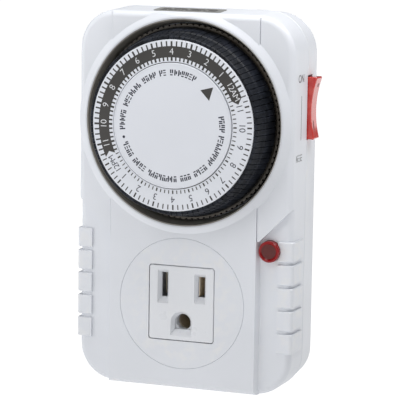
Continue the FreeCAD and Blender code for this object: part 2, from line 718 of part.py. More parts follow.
def slot_bevel(x, z, w, h):
    outer = rounded_wire(x - w / 2 - bevel_side, x + w / 2 + bevel_side, z - h / 2 - bevel_foot,
                         z + h / 2 + bevel_top, 0.35, front_y - 0.01)
    inner = rounded_wire(x - w / 2, x + w / 2, z - h / 2, z + h / 2, 0.1, front_y + bevel_depth)
    return Part.makeLoft([outer, inner], True, True)


def arched_wire(radius, foot, y):
    # round top, straight sides and a flat foot, about the ground hole's centre
    top = Part.Arc(V(radius, y, ground_z), V(0, y, ground_z + radius), V(-radius, y, ground_z)).toShape()
    pts = [V(-radius, y, ground_z), V(-radius, y, ground_z - foot), V(radius, y, ground_z - foot),
           V(radius, y, ground_z)]
    lines = [Part.LineSegment(pts[i], pts[i + 1]).toShape() for i in range(3)]
    return Part.Wire([top] + lines)


def ground_hole():
    mouth = Part.makeLoft([arched_wire(ground_radius + bevel_side, ground_foot + bevel_foot, front_y - 0.01),
                           arched_wire(ground_radius, ground_foot, front_y + bevel_depth)], True, True)
    arch = Part.Face(arched_wire(ground_radius, ground_foot, front_y)).extrude(
        V(0, ground_bore_y[0] - front_y, 0))
    return mouth, arch


def slot_tools(side, slot):
    x = side * blade_x
    w, h = slot
    hole = box(x - w / 2, x + w / 2, front_y - 1, -20, blade_z - h / 2, blade_z + h / 2)
    pocket = box(x - 2.65, x + 2.65, pocket_front_y, -12, 0.4, 10.6)
    return [hole, pocket, slot_bevel(x, blade_z, w, h)]


def receptacle_face():
    hw = outlet_width / 2
    hh = outlet_height / 2
    face = front_fillet(rounded(-hw, hw, -hh, hh, outlet_corner, front_y, front_y + 3.0), front_y, 0.3)
    flange = box(-13.0, 13.0, front_y + 2.5, front_y + 4.0, -13.6, 13.6)
    housing = box(-11.5, 11.5, front_y + 3.5, -13.2, -11.5, 11.5)
    body = join([face, flange, housing])
    tools = slot_tools(-1, neutral_slot) + slot_tools(1, line_slot) + list(ground_hole())
    tools.append(rod(0, ground_z, ground_bore_y[0] - 0.5, ground_bore_y[1] + 0.5, ground_bore_radius))
    tools.append(rod(0, ground_z, ground_bore_y[1], -12, 3.6))
    return less(body, tools)


def spring_contact(x, height, mouth_y, gap):
    # folded brass spring: two leaves which pinch in the middle and flare at the mouth
    pinch_y = mouth_y + 4.6
    outer = [(gap, mouth_y), (1.15, pinch_y), (1.75, -14.5), (1.75, -13.1)]
    inner = [(gap - 0.33, mouth_y + 0.2), (0.8, pinch_y), (1.4, -14.4), (1.4, -13.5)]
    outline = outer + [(-a, y) for a, y in reversed(outer)]
    outline += [(-a, y) for a, y in inner] + list(reversed(inner))
    pts = [V(x + a, y, blade_z - height / 2) for a, y in outline]
    return Part.Face(Part.makePolygon(pts + [pts[0]])).extrude(V(0, 0, height))


def contact_line():
    return spring_contact(blade_x, 6.6, pocket_front_y + 0.4, 1.35)


def contact_neutral():
    tail = box(-blade_x - 1.2, -blade_x + 1.2, -13.2, -9.6, blade_z - 1.5, blade_z + 1.5)
    return spring_contact(-blade_x, 7.6, pocket_front_y + 4.8, 1.75).fuse(tail).removeSplitter()


def contact_ground():
    socket = tube(0, ground_z, -22.4, -13.4, 3.3, 2.75)
    mouth = Part.makeCone(3.15, 2.6, 1.2, V(0, -22.5, ground_z), V(0, 1, 0))
    socket = less(socket, [mouth, box(-0.5, 0.5, -23, -15, ground_z, ground_z + 5)])
    end = rod(0, ground_z, -13.5, -12.9, 3.3)
    tail = box(-1.2, 1.2, -13.0, -9.6, ground_z - 1.2, ground_z + 1.2)
    return join([socket, end, tail])


# ---------------------------------------------------------------- plug

def flat_blade(x, height):
    root = box(x - 1.9, x + 1.9, -9.55, -8.4, blade_z - height / 2, blade_z + height / 2)
    blade = box(x - 0.75, x + 0.75, -8.6, blade_length, blade_z - height / 2, blade_z + height / 2)
    nose = [e for e in blade.Edges if abs(e.BoundBox.YMin - blade_length) < 1e-6
            and abs(e.BoundBox.YMax - blade_length) < 1e-6]
    blade = blade.makeChamfer(0.45, nose)
    eye = Part.makeCylinder(1.6, 4, V(x - 2, 11.7, blade_z), V(1, 0, 0))
    return join([root, blade]).cut(eye)


def ground_pin():
    root = rod(0, ground_z, -9.55, ground_root_end, ground_root_radius)
    pin = rod(0, ground_z, -9.55, ground_pin_length - 1.6, ground_pin_radius)
    tip = Part.makeCone(ground_pin_radius, 1.1, 1.6, V(0, ground_pin_length - 1.6, ground_z), V(0, 1, 0))
    head = rod(0, ground_z, -9.55, -8.4, 3.4)
    return join([root, pin, tip, head])


def plug_insulator():
    block = box(-12.5, 12.5, -9.4, -wall - 0.02, -11.4, 12.2)
    tools = [box(side * blade_x - 2.0, side * blade_x + 2.0, -10, -8.35, blade_z - 4.1, blade_z + 4.1)
             for side in (-1, 1)]
    tools += [box(side * blade_x - 0.8, side * blade_x + 0.8, -10, 0, blade_z - 4.05, blade_z + 4.05)
              for side in (-1, 1)]
    tools += [rod(0, ground_z, -10, 0, ground_root_radius + 0.03), rod(0, ground_z, -10, -8.35, 3.5)]
    return less(block, tools)


# ---------------------------------------------------------------- lamp and leads

def lamp_lens():
    return spun([(0, front_y + 0.15), (2.35, front_y + 0.15), (2.6, front_y - 0.1), (2.85, front_y - 0.3),
                 (3.2, front_y - 0.3), (lamp_radius, front_y + 0.1), (lamp_radius, front_y + 4.4),
                 (4.6, front_y + 4.4), (4.6, front_y + 5.2), (2.6, front_y + 5.2), (2.6, front_y + 1.2),
                 (0, front_y + 1.2)], lamp_x, lamp_z)


def neon_bulb():
    glass = rod(lamp_x, lamp_z, front_y + 4.0, front_y + 10.5, 1.9)
    dome = Part.makeSphere(1.9, V(lamp_x, front_y + 4.0, lamp_z))
    pips = [rod(lamp_x + d, lamp_z, front_y + 10.4, front_y + 12.6, 0.25) for d in (-0.7, 0.7)]
    return join([glass, dome] + pips)


def bent_wire(points, r):
    pieces = []
    for a, b in zip(points[:-1], points[1:]):
        start = V(*a)
        run = V(*b) - start
        pieces.append(Part.makeCylinder(r, run.Length, start, run))
    for p in points[1:-1]:
        pieces.append(Part.makeSphere(r, V(*p)))
    return join(pieces)


def lamp_resistor():
    x0 = 16.0
    body = Part.makeCylinder(1.1, 6.2, V(x0, -14.6, 18.6), V(1, 0, 0))
    ends = [Part.makeCylinder(1.25, 1.3, V(x0 - 0.1, -14.6, 18.6), V(1, 0, 0)),
            Part.makeCylinder(1.25, 1.3, V(x0 + 5.0, -14.6, 18.6), V(1, 0, 0))]
    lead = Part.makeCylinder(0.3, 10.4, V(x0 - 2.2, -14.6, 18.6), V(1, 0, 0))
    return join([body, lead] + ends)


def lamp_leads():
    a = bent_wire([(lamp_x - 0.7, -15.4, lamp_z), (lamp_x - 0.7, -13.6, lamp_z), (24.3, -14.4, 18.7)], 0.3)
    b = bent_wire([(lamp_x + 0.7, -15.4, lamp_z), (lamp_x + 0.7, -12.0, lamp_z - 2.0),
                   (20.0, -11.2, 6.0), (10.0, -11.2, 0.0), (-4.4, -11.2, 0.0), (-4.4, -11.2, 4.9)], 0.3)
    return Part.makeCompound([a, b])


def motor_leads():
    x, z = motor_place
    wires = []
    for i, shift in enumerate((0.0, 1.8)):
        x0 = x - 9.0 - shift
        wires.append(bent_wire([(x0 + 1.5, -2.75 - i * 0.01, z - 12.6), (x0 - 2.0, -5.0, z - 20),
                                (-12.2 - shift, -5.0, 36.0), (-11.5 + shift * 2, -7.0 - i, 15.0)], 0.5))
    return Part.makeCompound(wires)


def line_strap():
    run = box(4.6, 8.1, -10.1, -9.6, blade_z - 3, 16.0)
    across = box(-20.0, 8.1, -10.1, -9.6, 13.4, 16.0)
    turn = box(-20.0, -18.0, -10.1, -6.0, 13.4, 16.0)
    tab = box(-20.0, -18.0, -6.4, -6.0, 13.4, 16.58)
    return join([run, across, turn, tab])


def switched_strap():
    run = box(4.6, 8.1, -13.05, -12.55, blade_z - 3, 19.2)
    across = box(-28.0, 8.1, -13.05, -12.55, 16.9, 19.2)
    drop = box(-28.0, -26.0, -13.05, -12.55, 13.6, 19.2)
    turn = box(-28.0, -26.0, -13.05, -8.7, 13.6, 14.2)
    tab = box(-28.0, -26.0, -9.1, -8.7, 13.6, 16.58)
    return join([run, across, drop, turn, tab])


grouped, single = segments()
save("front_casing", front_casing())
save("rear_casing", rear_casing())
save("casing_screws", casing_screws())
save("top_label", top_label())
save("rating_label", rating_label())
save("dial_surround", dial_surround())
save("dial_drum", dial_drum())
save("dial_scale_ring", dial_scale_ring())
save("dial_segments", grouped)
for number, piece in enumerate(single):
    save("segment_" + str(number + 1), piece)
save("centre_disc", centre_disc())
save("dial_post", dial_post())
save("dial_retainer", dial_retainer())
save("movement_plate", movement_plate())
save("movement_screws", movement_screws())
save("gear_bridge", gear_bridge())
save("gear_arbors", gear_arbors())
save("drive_pinion", drive_pinion())
save("clutch_spring", clutch_spring())
save("clutch_wheel", clutch_wheel())
save("second_gear", second_gear())
save("first_gear", first_gear())
save("motor_rotor", motor_rotor())
save("motor_housing", motor_housing())
save("motor_bobbin", motor_bobbin())
save("motor_coil", motor_coil())
save("switch_body", switch_body())
save("switch_follower", switch_follower())
save("follower_pin", follower_pin())
save("switch_plunger", switch_plunger())
save("switch_leaf", switch_leaf())
save("switch_fixed_contact", switch_fixed_contact())
save("rocker", rocker())
save("rocker_frame", rocker_frame())
save("rocker_pivot", rocker_pivot())
save("rocker_leaf", rocker_leaf())
save("rocker_fixed_contact", rocker_fixed_contact())
save("receptacle_face", receptacle_face())
save("contact_line", contact_line())
save("contact_neutral", contact_neutral())
save("contact_ground", contact_ground())
save("blade_line", flat_blade(blade_x, 6.35))
save("blade_neutral", flat_blade(-blade_x, 7.9))
save("ground_pin", ground_pin())
save("plug_insulator", plug_insulator())
save("lamp_lens", lamp_lens())
save("neon_bulb", neon_bulb())
save("lamp_resistor", lamp_resistor())
save("lamp_leads", lamp_leads())
save("motor_leads", motor_leads())
save("line_strap", line_strap())
save("switched_strap", switched_strap())
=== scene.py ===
import bpy
import bmesh
import json
import math
import random
from mathutils import Matrix, Vector


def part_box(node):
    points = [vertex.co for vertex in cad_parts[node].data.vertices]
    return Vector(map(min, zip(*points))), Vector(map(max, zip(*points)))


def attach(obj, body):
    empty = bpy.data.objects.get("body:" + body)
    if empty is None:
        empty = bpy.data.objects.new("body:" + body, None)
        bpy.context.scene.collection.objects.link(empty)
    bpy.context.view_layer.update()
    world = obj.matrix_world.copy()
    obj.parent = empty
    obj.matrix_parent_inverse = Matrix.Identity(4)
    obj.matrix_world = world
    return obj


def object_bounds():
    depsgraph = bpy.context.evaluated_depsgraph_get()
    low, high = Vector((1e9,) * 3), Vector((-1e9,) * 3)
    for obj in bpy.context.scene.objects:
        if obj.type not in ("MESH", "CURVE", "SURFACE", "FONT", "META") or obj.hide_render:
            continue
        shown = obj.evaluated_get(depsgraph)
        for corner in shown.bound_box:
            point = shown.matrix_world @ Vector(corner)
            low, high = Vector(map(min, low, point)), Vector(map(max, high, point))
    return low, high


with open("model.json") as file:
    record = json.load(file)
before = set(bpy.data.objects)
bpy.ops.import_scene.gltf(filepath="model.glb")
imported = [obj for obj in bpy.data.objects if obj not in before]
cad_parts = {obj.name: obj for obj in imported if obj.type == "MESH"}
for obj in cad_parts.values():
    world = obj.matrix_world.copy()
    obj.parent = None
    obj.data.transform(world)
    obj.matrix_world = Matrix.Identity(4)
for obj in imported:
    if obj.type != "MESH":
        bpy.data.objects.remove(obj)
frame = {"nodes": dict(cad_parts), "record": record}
cad_low, cad_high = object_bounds()
nodes = frame["nodes"]

mm = 0.001

# places taken from the frame
disc_low, disc_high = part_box("centre_disc")
scale_low, scale_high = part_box("dial_scale_ring")
dial_x = (scale_low.x + scale_high.x) / 2
dial_z = (scale_low.z + scale_high.z) / 2
scale_face = scale_low.y
disc_rim_height = 0.06 * mm
disc_face = disc_low.y + disc_rim_height
rocker_low, rocker_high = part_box("rocker")
casing_low, casing_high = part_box("rear_casing")
side_x = casing_high.x

# the face the outlet lies in
front_y = -28.0 * mm

# print: how far it stands off its face, and how far it reaches under it
ink = 0.022 * mm

# the printed scale; angles are in degrees, anticlockwise from the right as seen from the front
midnight_angle = 31.3
hour_step = 15.0
quarters = 96
night_quarters = 47
outer_tick = (25.0 * mm, 26.55 * mm)
inner_tick = (20.4 * mm, 21.5 * mm)
hour_tick_extra = 0.16 * mm
band = (21.5 * mm, 25.0 * mm)
band_start = midnight_angle - 7.6
band_end = midnight_angle + 12 * hour_step - 5.0
band_arrow = 4.2
band_notch = 3.2
number_radius = 23.25 * mm
number_size = 2.95 * mm
twelve_size = 2.8 * mm
twelve_shift = {0: -1.2, 12: 2.6}

# the printed words' ring and pointer on the centre disc
word_radius = 16.8 * mm
word_height = 1.85 * mm
dot_radius = 0.45 * mm
dot_angle = 194.7
pointer_tip = (18.65 * mm, 43.1)
pointer_base = ((15.0 * mm, 51.2), (15.0 * mm, 34.6))

# texture scales, in features per metre
drift_scale = 45.0
rub_scale = 320.0
haze_scale = 160.0
hair_scales = (260.0, 260.0, 5200.0)
tarnish_scale = 220.0


# ---------------------------------------------------------------- materials

def node(tree, kind, **values):
    made = tree.nodes.new(kind)
    for key, value in values.items():
        setattr(made, key, value)
    return made


def new_material(name):
    mat = bpy.data.materials.new(name)
    mat.use_nodes = True
    tree = mat.node_tree
    return mat, tree, tree.nodes["Principled BSDF"]


def noise(tree, place, scale, detail=3.0, rough=0.5):
    made = node(tree, "ShaderNodeTexNoise")
    made.inputs["Scale"].default_value = scale
    made.inputs["Detail"].default_value = detail
    made.inputs["Roughness"].default_value = rough
    tree.links.new(place, made.inputs["Vector"])
    return made.outputs["Fac"]


def ramp(tree, value, low, high, to_low, to_high):
    made = node(tree, "ShaderNodeMapRange")
    made.inputs["From Min"].default_value = low
    made.inputs["From Max"].default_value = high
    made.inputs["To Min"].default_value = to_low
    made.inputs["To Max"].default_value = to_high
    tree.links.new(value, made.inputs["Value"])
    return made.outputs["Result"]


def blend_colour(tree, amount, a, b):
    made = node(tree, "ShaderNodeMix", data_type="RGBA")
    tree.links.new(amount, made.inputs["Factor"])
    for socket, colour in ((made.inputs[6], a), (made.inputs[7], b)):
        if isinstance(colour, tuple):
            socket.default_value = (*colour, 1.0)
        else:
            tree.links.new(colour, socket)
    return made.outputs[2]


def stretched(tree, place, scales):
    made = node(tree, "ShaderNodeMapping")
    made.inputs["Scale"].default_value = scales
    tree.links.new(place, made.inputs["Vector"])
    return made.outputs["Vector"]


def edge_amount(tree, low, high):
    geometry = node(tree, "ShaderNodeNewGeometry")
    return ramp(tree, geometry.outputs["Pointiness"], low, high, 0.0, 1.0)


def plastic(name, colour, rough, grain=0.0, grain_size=0.25 * mm, drift=0.02, worn=None, coat=0.0,
            scratches=0.03, specular=0.5):
    """Moulded plastic: slow colour drift, sparked grain, handling scratches and rubbed edges."""
    mat, tree, bsdf = new_material(name)
    place = node(tree, "ShaderNodeTexCoord").outputs["Object"]
    slow = noise(tree, place, drift_scale, 2.0)
    darker = tuple(c * (1 - drift) for c in colour)
    lighter = tuple(min(1.0, c * (1 + drift)) for c in colour)
    shade = blend_colour(tree, ramp(tree, slow, 0.35, 0.65, 0.0, 1.0), darker, lighter)
    if worn is not None:
        rub = node(tree, "ShaderNodeMath", operation="MULTIPLY")
        tree.links.new(edge_amount(tree, 0.53, 0.60), rub.inputs[0])
        patches = ramp(tree, noise(tree, place, rub_scale, 4.0), 0.45, 0.62, 0.0, 0.55)
        tree.links.new(patches, rub.inputs[1])
        shade = blend_colour(tree, rub.outputs[0], shade, worn)
    tree.links.new(shade, bsdf.inputs["Base Color"])
    hair = noise(tree, stretched(tree, place, hair_scales), 1.0, 2.0)
    marks = ramp(tree, hair, 0.68, 0.80, 0.0, scratches * 3)
    haze = noise(tree, place, haze_scale, 3.0)
    wide = ramp(tree, haze, 0.3, 0.7, rough - scratches, rough + scratches)
    total = node(tree, "ShaderNodeMath", operation="ADD", use_clamp=True)
    tree.links.new(marks, total.inputs[0])
    tree.links.new(wide, total.inputs[1])
    tree.links.new(total.outputs[0], bsdf.inputs["Roughness"])
    if grain > 0:
        bump = node(tree, "ShaderNodeBump")
        bump.inputs["Strength"].default_value = grain
        bump.inputs["Distance"].default_value = 0.03 * mm
        tree.links.new(noise(tree, place, 1.0 / grain_size, 2.0, 0.6), bump.inputs["Height"])
        tree.links.new(bump.outputs["Normal"], bsdf.inputs["Normal"])
    bsdf.inputs["Specular IOR Level"].default_value = specular
    bsdf.inputs["Coat Weight"].default_value = coat
    bsdf.inputs["Coat Roughness"].default_value = 0.12
    return mat


def metal(name, colour, tarnish, rough, lines=(40.0, 40.0, 4000.0), metallic=1.0):
    """Stamped or drawn metal: rolling lines, tarnish in patches, brighter rubbed edges.

    A metallic share under one stands for a dull plating.
    """
    mat, tree, bsdf = new_material(name)
    place = node(tree, "ShaderNodeTexCoord").outputs["Object"]
    patches = ramp(tree, noise(tree, place, tarnish_scale, 4.0), 0.4, 0.7, 0.0, 0.6)
    shade = blend_colour(tree, patches, colour, tarnish)
    bright = tuple(min(1.0, c * 1.25) for c in colour)
    shade = blend_colour(tree, edge_amount(tree, 0.52, 0.60), shade, bright)
    tree.links.new(shade, bsdf.inputs["Base Color"])
    rolled = noise(tree, stretched(tree, place, lines), 1.0, 3.0)
    tree.links.new(ramp(tree, rolled, 0.3, 0.7, rough - 0.08, rough + 0.12), bsdf.inputs["Roughness"])
    bump = node(tree, "ShaderNodeBump")
    bump.inputs["Strength"].default_value = 0.25
    bump.inputs["Distance"].default_value = 0.01 * mm
    tree.links.new(rolled, bump.inputs["Height"])
    tree.links.new(bump.outputs["Normal"], bsdf.inputs["Normal"])
    bsdf.inputs["Metallic"].default_value = metallic
    return mat


def ring_distance(tree, centre_x, centre_other, other="Z"):
    """Distance from a line along the remaining axis, in metres."""
    place = node(tree, "ShaderNodeTexCoord").outputs["Object"]
    parts = node(tree, "ShaderNodeSeparateXYZ")
    tree.links.new(place, parts.inputs[0])
    squares = []
    for axis, centre in (("X", centre_x), (other, centre_other)):
        away = node(tree, "ShaderNodeMath", operation="SUBTRACT")
        away.inputs[1].default_value = centre
        tree.links.new(parts.outputs[axis], away.inputs[0])
        square = node(tree, "ShaderNodeMath", operation="MULTIPLY")
        tree.links.new(away.outputs[0], square.inputs[0])
        tree.links.new(away.outputs[0], square.inputs[1])
        squares.append(square)
    total = node(tree, "ShaderNodeMath", operation="ADD")
    tree.links.new(squares[0].outputs[0], total.inputs[0])
    tree.links.new(squares[1].outputs[0], total.inputs[1])
    root = node(tree, "ShaderNodeMath", operation="SQRT")
    tree.links.new(total.outputs[0], root.inputs[0])
    return root.outputs[0]


def lens_material():
    """Red lens: deep rim, brownish window with faint moulded rings."""
    window_radius = (2.3 * mm, 2.6 * mm)
    ring_pitch = 0.55 * mm
    low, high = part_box("lamp_lens")
    centre_x = (low.x + high.x) / 2
    centre_z = (low.z + high.z) / 2
    mat, tree, bsdf = new_material("lamp_red")
    away = ring_distance(tree, centre_x, centre_z)
    rim = ramp(tree, away, window_radius[0], window_radius[1], 0.0, 1.0)
    place = node(tree, "ShaderNodeTexCoord").outputs["Object"]
    window = blend_colour(tree, noise(tree, place, 900.0, 3.0), (0.085, 0.012, 0.011), (0.135, 0.020, 0.017))
    tree.links.new(blend_colour(tree, rim, window, (0.26, 0.004, 0.006)), bsdf.inputs["Base Color"])
    tree.links.new(ramp(tree, noise(tree, place, 400.0, 2.0), 0.3, 0.7, 0.16, 0.24), bsdf.inputs["Roughness"])
    wave = node(tree, "ShaderNodeMath", operation="SINE")
    turns = node(tree, "ShaderNodeMath", operation="MULTIPLY")
    turns.inputs[1].default_value = 2 * math.pi / ring_pitch
    tree.links.new(away, turns.inputs[0])
    tree.links.new(turns.outputs[0], wave.inputs[0])
    bump = node(tree, "ShaderNodeBump")
    bump.inputs["Strength"].default_value = 0.35
    bump.inputs["Distance"].default_value = 0.03 * mm
    tree.links.new(wave.outputs[0], bump.inputs["Height"])
    tree.links.new(bump.outputs["Normal"], bsdf.inputs["Normal"])
    bsdf.inputs["Coat Weight"].default_value = 0.1
    bsdf.inputs["Specular IOR Level"].default_value = 0.3
    return mat


def winding_material():
    """Fine enamelled wire laid side by side."""
    mat, tree, bsdf = new_material("copper_winding")
    place = node(tree, "ShaderNodeTexCoord").outputs["Object"]
    wires = node(tree, "ShaderNodeTexWave", bands_direction="Y")
    wires.inputs["Scale"].default_value = 2400.0
    wires.inputs["Distortion"].default_value = 0.6
    tree.links.new(place, wires.inputs["Vector"])
    tree.links.new(blend_colour(tree, wires.outputs["Fac"], (0.22, 0.06, 0.02), (0.62, 0.24, 0.09)),
                   bsdf.inputs["Base Color"])
    bump = node(tree, "ShaderNodeBump")
    bump.inputs["Strength"].default_value = 0.7
    bump.inputs["Distance"].default_value = 0.08 * mm
    tree.links.new(wires.outputs["Fac"], bump.inputs["Height"])
    tree.links.new(bump.outputs["Normal"], bsdf.inputs["Normal"])
    tree.links.new(ramp(tree, noise(tree, place, 500.0), 0.3, 0.7, 0.25, 0.4), bsdf.inputs["Roughness"])
    bsdf.inputs["Metallic"].default_value = 0.7
    return mat


def glass_material():
    """Clear glass of the small bulb, faintly tinted."""
    mat, tree, bsdf = new_material("bulb_glass")
    place = node(tree, "ShaderNodeTexCoord").outputs["Object"]
    tree.links.new(blend_colour(tree, noise(tree, place, 300.0), (0.95, 0.86, 0.80), (1.0, 0.95, 0.92)),
                   bsdf.inputs["Base Color"])
    tree.links.new(ramp(tree, noise(tree, place, 700.0), 0.3, 0.7, 0.02, 0.08), bsdf.inputs["Roughness"])
    bsdf.inputs["Transmission Weight"].default_value = 0.9
    return mat


casing_white = plastic("casing_white", (0.735, 0.755, 0.80), 0.40, grain=0.16, worn=(0.80, 0.80, 0.80))
face_white = plastic("outlet_white", (0.75, 0.765, 0.80), 0.30, grain=0.06, worn=(0.82, 0.82, 0.82), coat=0.2)
dial_white = plastic("dial_white", (0.70, 0.72, 0.77), 0.34, grain=0.05, drift=0.012)
# black gloss well surround given a light grey-brown base: painted reflection, standing in for the light its
# gloss reflects
surround_painted_reflection = plastic("surround_painted_reflection", (0.36, 0.34, 0.305), 0.22, grain=0.03, drift=0.10)
drum_brown = plastic("drum_brown", (0.090, 0.074, 0.055), 0.38, grain=0.10, drift=0.2,
                     worn=(0.16, 0.14, 0.11))
segment_black = plastic("segment_black", (0.0045, 0.006, 0.0100), 0.46, grain=0.10, drift=0.3,
                        worn=(0.03, 0.035, 0.05), specular=0.22)
rocker_red = plastic("rocker_red", (0.60, 0.020, 0.012), 0.16, grain=0.02, drift=0.05,
                     worn=(0.75, 0.10, 0.07), coat=0.8)
spring_tin = metal("spring_tin", (0.70, 0.62, 0.50), (0.42, 0.36, 0.27), 0.50, metallic=0.6)
natural = plastic("natural_acetal", (0.72, 0.70, 0.62), 0.42, grain=0.08, worn=(0.82, 0.80, 0.74))
black_plastic = plastic("black_plastic", (0.02, 0.02, 0.022), 0.45, grain=0.2, drift=0.2,
                        worn=(0.07, 0.07, 0.07))
ferrite = plastic("ferrite", (0.06, 0.055, 0.05), 0.6, grain=0.4, drift=0.3, worn=(0.14, 0.13, 0.12))
sleeve = plastic("wire_sleeve", (0.03, 0.03, 0.033), 0.5, grain=0.1, drift=0.2)
resistor_tan = plastic("resistor_tan", (0.45, 0.30, 0.16), 0.35, grain=0.05, drift=0.15)
label_grey = plastic("label_grey", (0.27, 0.265, 0.255), 0.38, grain=0.25, grain_size=0.6 * mm, drift=0.12)
label_back = plastic("label_back", (0.60, 0.61, 0.62), 0.32, grain=0.05, drift=0.03)
ink_dark = plastic("ink_dark", (0.038, 0.035, 0.032), 0.40, drift=0.15)
ink_navy = plastic("ink_navy", (0.020, 0.022, 0.040), 0.40, drift=0.15)
ink_white = plastic("ink_white", (0.74, 0.75, 0.77), 0.40, drift=0.05)
ink_grey = plastic("ink_grey", (0.155, 0.155, 0.165), 0.45, drift=0.15)
# dark red for the rocker's small recesses: painted shade
recess_shade_red = plastic("recess_shade_red", (0.20, 0.006, 0.004), 0.32, drift=0.1)
brass = metal("brass", (0.80, 0.62, 0.30), (0.42, 0.30, 0.14), 0.28)
zinc = metal("zinc_plate", (0.68, 0.69, 0.71), (0.42, 0.42, 0.40), 0.30)

finishes = {
    "casing_white": casing_white,
    "dial_white": dial_white,
    "black_gloss": surround_painted_reflection,
    "black_matte": black_plastic,
    "natural_plastic": natural,
    "rotor_plastic": ferrite,
    "red_gloss": rocker_red,
    "red_lens": lens_material(),
    "clear_glass": glass_material(),
    "resistor_body": resistor_tan,
    "wire_sleeve": sleeve,
    "copper_wire": winding_material(),
    "brass": brass,
    "zinc_steel": zinc,
    "grey_print": label_grey,
}
special = {
    "receptacle_face": face_white,
    "dial_drum": drum_brown,
    "rocker_frame": casing_white,
    "contact_line": spring_tin,
    "contact_neutral": spring_tin,
    "contact_ground": spring_tin,
    "dial_segments": segment_black,
    "segment_1": segment_black,
    "segment_2": segment_black,
    "segment_3": segment_black,
    "segment_4": segment_black,
    "rating_label": label_back,
}
crisp_angle = math.radians(32)
slot_of = {entry["node"]: entry["material_slot"] for entry in frame["record"]["subparts"]}
for name, thing in nodes.items():
    thing.data.materials.clear()
    thing.data.materials.append(special.get(name, finishes[slot_of[name]]))
    thing.data.shade_smooth()
    crisp = thing.modifiers.new("crisp", "EDGE_SPLIT")
    crisp.split_angle = crisp_angle


# ---------------------------------------------------------------- meshes

def slab(mesh, front, back):
    """Thin closed plate between two matching outlines, each a list of points."""
    top = [mesh.verts.new(point) for point in front]
    under = [mesh.verts.new(point) for point in back]
    mesh.faces.new(top)
    mesh.faces.new(list(reversed(under)))
    for i in range(len(top)):
        j = (i + 1) % len(top)
        mesh.faces.new((top[j], top[i], under[i], under[j]))


def settle(name, data, material, body):
    """Makes the mesh a piece of its own which moves with a body."""
    data.materials.clear()
    data.materials.append(material)
    thing = bpy.data.objects.new(name, data)
    bpy.context.scene.collection.objects.link(thing)
    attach(thing, body)
    return thing


def settle_mesh(name, mesh, material, body):
    bmesh.ops.recalc_face_normals(mesh, faces=mesh.faces)
    data = bpy.data.meshes.new(name)
    mesh.to_mesh(data)
    mesh.free()
    return settle(name, data, material, body)


def text_mesh(text, size, weight, spacing=1.0, resolution=12):
    """Mesh of a few characters lying flat, thickened or thinned by a share of their size."""
    curve = bpy.data.curves.new("figure", "FONT")
    curve.body = text
    curve.size = size
    curve.align_x = "CENTER"
    curve.align_y = "CENTER"
    curve.space_character = spacing
    curve.extrude = ink
    curve.resolution_u = resolution
    curve.offset = weight * size
    holder = bpy.data.objects.new("figure", curve)
    bpy.context.scene.collection.objects.link(holder)
    bpy.context.view_layer.update()
    data = bpy.data.meshes.new_from_object(holder.evaluated_get(bpy.context.evaluated_depsgraph_get()))
    bpy.data.objects.remove(holder)
    return data


def stand(data, right, up, place):
    """Turns a flat mesh so that its sideways and upward directions are right and up, and moves it."""
    turn = Matrix((right, up, right.cross(up))).transposed().to_4x4()
    turn.translation = place
    data.transform(turn)
    return data


def bar(x0, x1, z0, z1):
    return [(x0, z0), (x1, z0), (x1, z1), (x0, z1)]


def stroke_mark(kind):
    """Upright strokes in a unit cell: the look of small print without being letters."""
    thin = 0.29
    marks = [
        [bar(0.0, thin, 0.0, 1.0), bar(0.42, 0.42 + thin, 0.0, 0.52)],
        [bar(0.0, thin, 0.0, 1.0), bar(0.34, 0.70, 0.40, 0.58), bar(0.50, 0.50 + thin, 0.58, 1.0)],
        [bar(0.0, thin, 0.0, 0.62), bar(0.0, 0.62, 0.80, 1.0), bar(0.42, 0.42 + thin, 0.0, 0.62)],
        [bar(0.0, 0.62, 0.0, 0.20), bar(0.0, thin, 0.38, 1.0), bar(0.42, 0.42 + thin, 0.38, 1.0)],
        [bar(0.10, 0.10 + thin, 0.0, 1.0), bar(0.46, 0.46 + thin, 0.25, 0.75)],
        [bar(0.0, 0.64, 0.0, 0.18), bar(0.0, 0.64, 0.42, 0.58), bar(0.0, 0.64, 0.82, 1.0)],
    ]
    return marks[kind]


# ---------------------------------------------------------------- print on the dial

def on_dial(radius, degrees):
    a = math.radians(degrees)
    return (dial_x + radius * math.cos(a), dial_z + radius * math.sin(a))


def printed(name, outlines, face_y, material, body):
    """Flat ink shapes on a face which looks along -Y; each outline is a list of (x, z)."""
    mesh = bmesh.new()
    for outline in outlines:
        slab(mesh, [(x, face_y - ink, z) for x, z in outline], [(x, face_y + ink, z) for x, z in outline])
    return settle_mesh(name, mesh, material, body)


def tick_outline(radii, degrees, width):
    a = math.radians(degrees)
    across = (-math.sin(a) * width / 2, math.cos(a) * width / 2)
    points = []
    for r, side in ((radii[0], -1), (radii[1], -1), (radii[1], 1), (radii[0], 1)):
        x, z = on_dial(r, degrees)
        points.append((x + side * across[0], z + side * across[1]))
    return points


def ticks():
    """Quarter-hour marks on both edges, heavier on the hour and along the dark half."""
    outlines = []
    for i in range(quarters):
        degrees = midnight_angle + hour_step * i / 4
        extra = hour_tick_extra if i % 4 == 0 else 0.0
        night = i < night_quarters
        outlines.append(tick_outline(outer_tick, degrees, (0.46 if night else 0.34) * mm + extra))
        outlines.append(tick_outline(inner_tick, degrees, (0.50 if night else 0.30) * mm + extra))
    return outlines


def night_band():
    """Dark half of the scale, from the arrow just before midnight to the fish tail at noon."""
    steps = 90
    along = [band_start + (band_end - band_start) * i / steps for i in range(steps + 1)]
    outer = [on_dial(band[1], degrees) for degrees in along]
    inner = [on_dial(band[0], degrees) for degrees in along]
    middle = (band[0] + band[1]) / 2
    tip = on_dial(middle, band_start - band_arrow)
    notch = on_dial(middle, band_end - band_notch)
    return [[tip] + outer + [notch] + list(reversed(inner))]


def hour_name(hour):
    if hour % 12 == 0:
        return "12AM" if hour == 0 else "12PM"
    return str(hour % 12)


